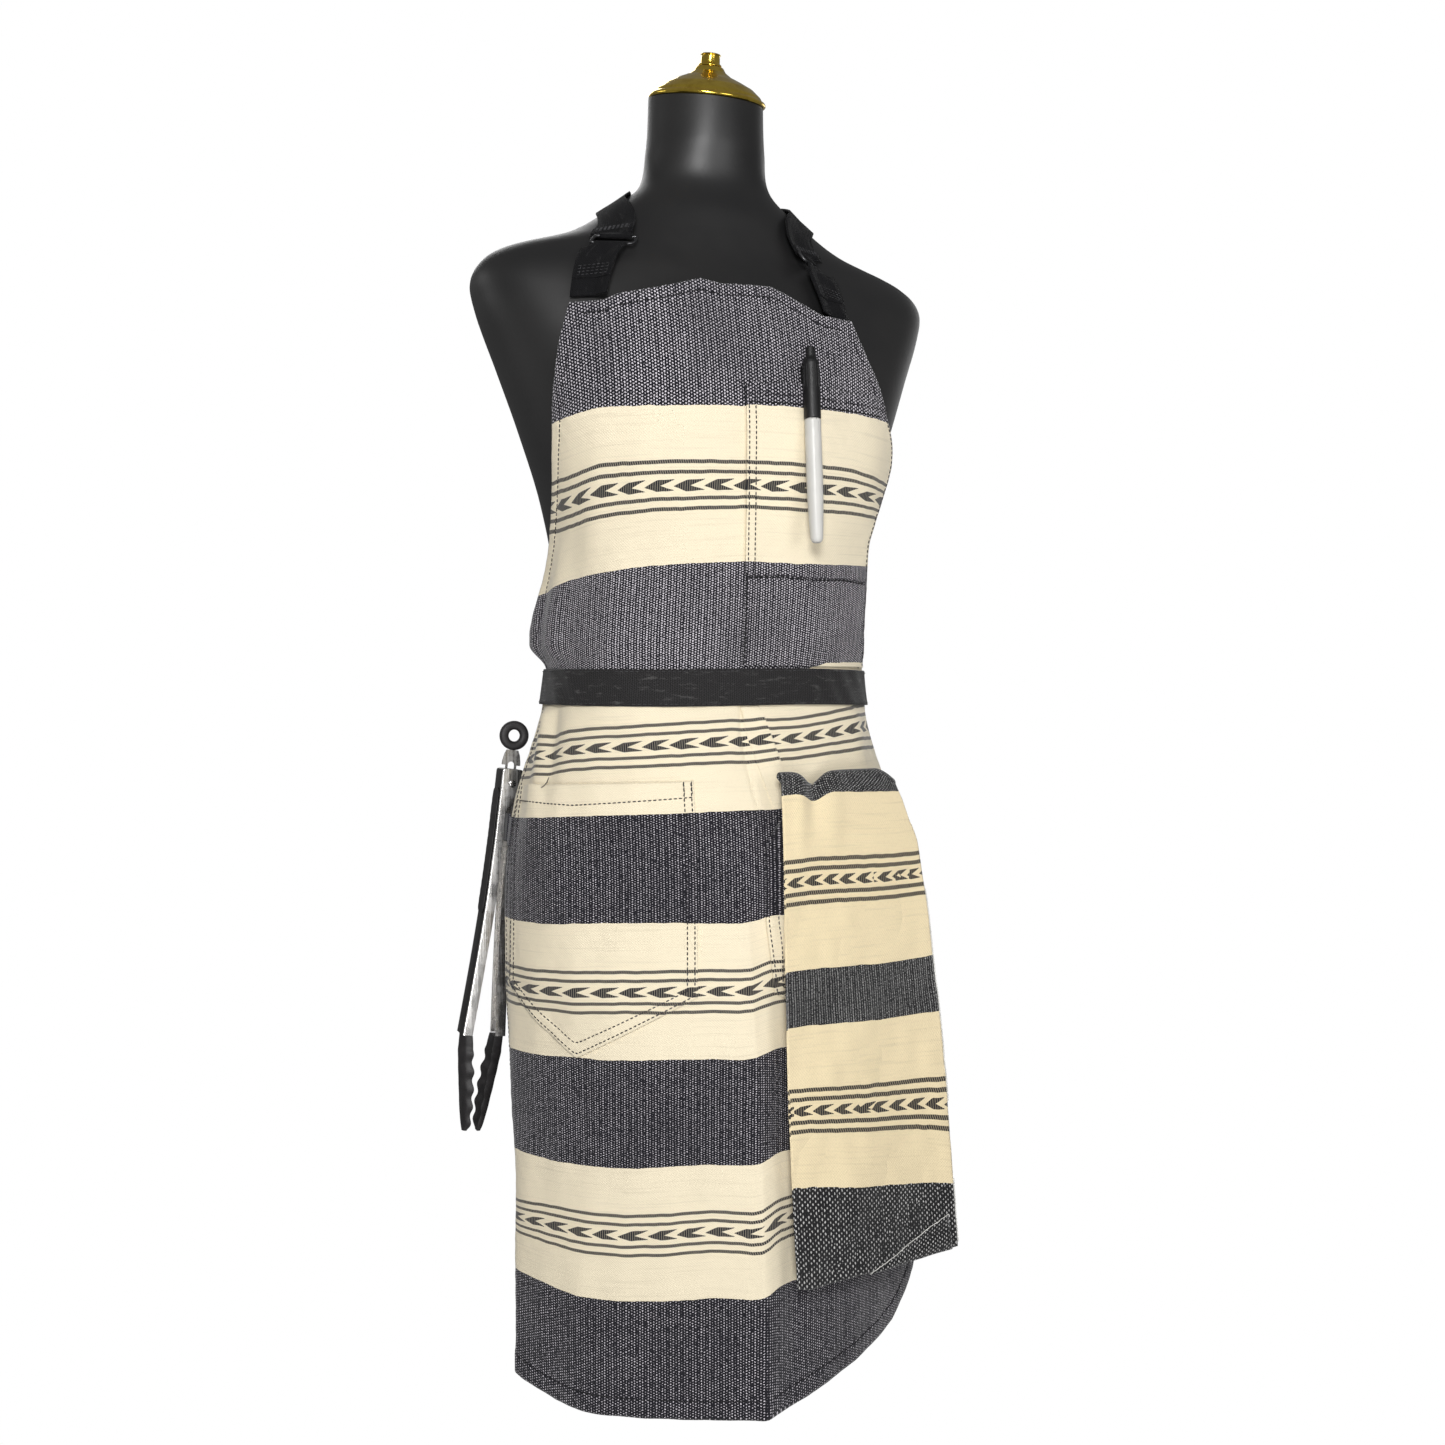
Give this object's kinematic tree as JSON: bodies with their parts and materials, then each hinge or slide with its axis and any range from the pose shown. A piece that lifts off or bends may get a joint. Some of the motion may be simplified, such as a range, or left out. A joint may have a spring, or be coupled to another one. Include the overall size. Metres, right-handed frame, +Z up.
{
  "type": "kitchen apron on a dress form",
  "caption": "Striped bib apron with pockets, worn by a black headless dress form with a gold neck cap, carrying locking tongs, a folded towel and a clipped marker.",
  "frame": {"origin": "middle of the underside of the stand plate, inside the form's lower end", "axes": "+Z up; the form faces -Y; its own left side, with the towel, is at +X"},
  "size_m": [0.3679, 0.2613, 0.9989],
  "materials": {
    "satin_black_shell": "satin",
    "polished_gold": "polished",
    "painted_board": "matt paint",
    "zinc_steel": "zinc plated",
    "striped_cotton": "woven",
    "black_webbing": "ribbed webbing",
    "brushed_stainless": "brushed",
    "black_rubber": "matt",
    "black_plastic": "satin",
    "grey_plastic": "satin",
    "felt": "felt"
  },
  "bodies": {
    "dressed_form": {"torso_shell": "satin_black_shell", "base_board": "painted_board", "neck_block": "painted_board", "stand_plate": "zinc_steel", "plate_screw_1": "zinc_steel", "plate_screw_2": "zinc_steel", "plate_screw_3": "zinc_steel", "plate_screw_4": "zinc_steel", "strap_ring_left": "zinc_steel", "strap_ring_right": "zinc_steel", "apron_body": "striped_cotton", "chest_pocket": "striped_cotton", "hip_pocket_left": "striped_cotton", "hip_pocket_right": "striped_cotton", "tong_loop": "striped_cotton", "waist_belt": "black_webbing", "tie_knot": "black_webbing", "tie_tail_left": "black_webbing", "tie_tail_right": "black_webbing", "neck_strap": "black_webbing", "strap_end_left": "black_webbing", "strap_end_right": "black_webbing"},
    "neck_finial": {"neck_cap": "polished_gold", "cap_stem": "polished_gold"},
    "tongs": {"tong_inner_arm": "brushed_stainless", "tong_inner_grip": "black_rubber", "tong_inner_tip": "black_rubber", "tong_rivet": "zinc_steel", "tong_spring": "zinc_steel"},
    "outer_arm": {"tong_outer_arm": "brushed_stainless", "tong_outer_grip": "black_rubber", "tong_outer_tip": "black_rubber"},
    "lock_tab": {"tong_lock_tab": "brushed_stainless", "tong_hang_ring": "black_rubber"},
    "cap": {"marker_cap": "black_plastic"},
    "barrel": {"marker_barrel": "grey_plastic", "marker_nib": "felt"},
    "towel": {"towel": "striped_cotton"}
  },
  "joints": [
    {"name": "neck_cap_lift", "type": "slide", "parent": "dressed_form", "child": "neck_finial", "axis": [0, -0.225, 0.9744], "range_m": [0, 0.034]},
    {"name": "tongs_lift", "type": "slide", "parent": "dressed_form", "child": "tongs", "axis": [0.1149, 0, 0.9934], "range_m": [0, 0.09]},
    {"name": "tongs_open", "type": "hinge", "parent": "tongs", "child": "outer_arm", "pos_m": [-0.1431, 0.047, 0.3787], "axis": [0, 1, 0], "range_deg": [0, 14]},
    {"name": "lock_tab_push", "type": "slide", "parent": "tongs", "child": "lock_tab", "axis": [0.1149, 0, 0.9934], "range_m": [-0.014, 0]},
    {"name": "marker_lift", "type": "slide", "parent": "dressed_form", "child": "cap", "axis": [-0.016, 0.0657, 0.9977], "range_m": [0, 0.04]},
    {"name": "marker_uncap", "type": "slide", "parent": "cap", "child": "barrel", "axis": [0.016, -0.0657, -0.9977], "range_m": [0, 0.028]},
    {"name": "towel_lift", "type": "slide", "parent": "dressed_form", "child": "towel", "axis": [0, 0, 1], "range_m": [0, 0.1]}
  ]
}
